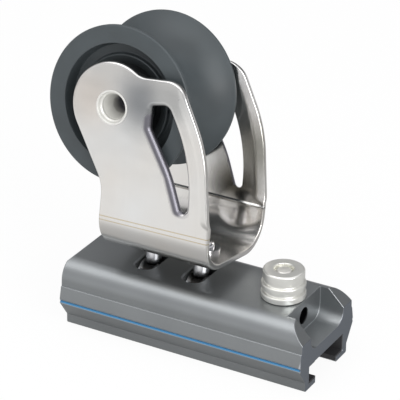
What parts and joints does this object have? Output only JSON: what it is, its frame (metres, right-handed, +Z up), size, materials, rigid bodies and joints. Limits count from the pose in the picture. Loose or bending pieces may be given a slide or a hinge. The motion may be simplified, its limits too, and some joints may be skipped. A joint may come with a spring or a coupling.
{
  "type": "genoa car",
  "caption": "Track slider with a sprung plunger stop and a wide grooved sheave in a tilting folded strap, for leading a sheet along a deck track.",
  "frame": {"origin": "middle of the track channel's length and width, at the plane of the slider's feet", "axes": "+X along the track, towards the plunger end; +Z up from the deck; +Y to the side that the stored strap leans to"},
  "size_m": [0.1392, 0.0722, 0.1452],
  "materials": {
    "body_anodised": "grey hard anodised, satin",
    "steel_polished": "polished stainless",
    "steel_plain": "turned stainless",
    "sheave_black": "black moulded acetal, satin",
    "liner_acetal": "black acetal",
    "bush_white": "natural acetal",
    "knob_silver": "clear anodised, satin",
    "stripe_blue": "blue inlay"
  },
  "bodies": {
    "slider": {"car_body": "body_anodised", "slide_liner_near": "liner_acetal", "slide_liner_far": "liner_acetal", "accent_stripe_near": "stripe_blue", "accent_stripe_far": "stripe_blue", "pivot_rod": "steel_plain", "plunger_sleeve": "body_anodised", "plunger_spring": "steel_plain"},
    "bracket": {"strap": "steel_polished", "leg_rear": "steel_plain", "leg_front": "steel_plain", "washer_rear": "steel_plain", "washer_front": "steel_plain", "leg_screw_rear": "steel_plain", "leg_screw_front": "steel_plain", "axle": "steel_polished", "thrust_washer_near": "bush_white", "thrust_washer_far": "bush_white"},
    "sheave": {"sheave": "sheave_black", "sheave_bush": "bush_white"},
    "plunger": {"plunger_pin": "steel_plain", "plunger_knob": "knob_silver"}
  },
  "joints": [
    {"name": "strap_tilt", "type": "hinge", "parent": "slider", "child": "bracket", "pos_m": [0, 0, 0.0255], "axis": [1, 0, 0], "range_deg": [-16.6, 37.4]},
    {"name": "sheave_spin", "type": "hinge", "parent": "bracket", "child": "sheave", "pos_m": [-0.0413, 0.01475, 0.10586], "axis": [0, 0.9836, -0.1805], "continuous": true},
    {"name": "plunger_lift", "type": "slide", "parent": "slider", "child": "plunger", "axis": [0, 0, 1], "range_m": [0, 0.0075], "stiffness_N_per_m": 800, "springref_m": -0.006, "deforming": ["plunger_spring"]}
  ]
}
